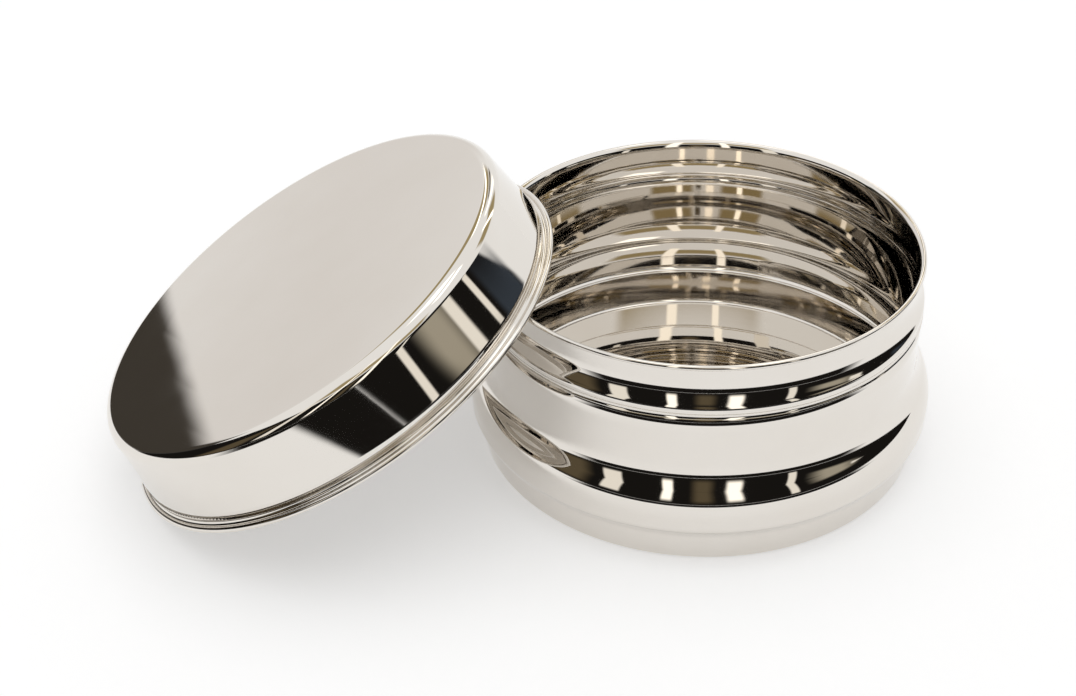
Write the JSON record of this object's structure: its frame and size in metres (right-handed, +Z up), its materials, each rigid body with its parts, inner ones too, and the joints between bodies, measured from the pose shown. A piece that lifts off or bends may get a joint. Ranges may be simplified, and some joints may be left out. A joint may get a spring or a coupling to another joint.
{
  "type": "chapati box with loose lid",
  "caption": "Mirror-polished steel chapati box: a belly-shaped pot with a rolled lip and a deep loose lid leaning on its side.",
  "frame": {"origin": "middle of the pot's underside, on the table", "axes": "+Z up along the pot's axis; the camera of the picture looks along +Y; the lid lies on the -X side"},
  "size_m": [0.3664, 0.2367, 0.139],
  "materials": {
    "pot_steel": "mirror-polished stainless steel",
    "lid_steel": "mirror-polished stainless steel"
  },
  "bodies": {
    "pot": {"pot_body": "pot_steel"},
    "lid": {"lid": "lid_steel"}
  },
  "joints": [
    {"name": "lid_lift", "type": "slide", "parent": "pot", "child": "lid", "axis": [0, 0, 1], "range_m": [0, 0.2]}
  ]
}
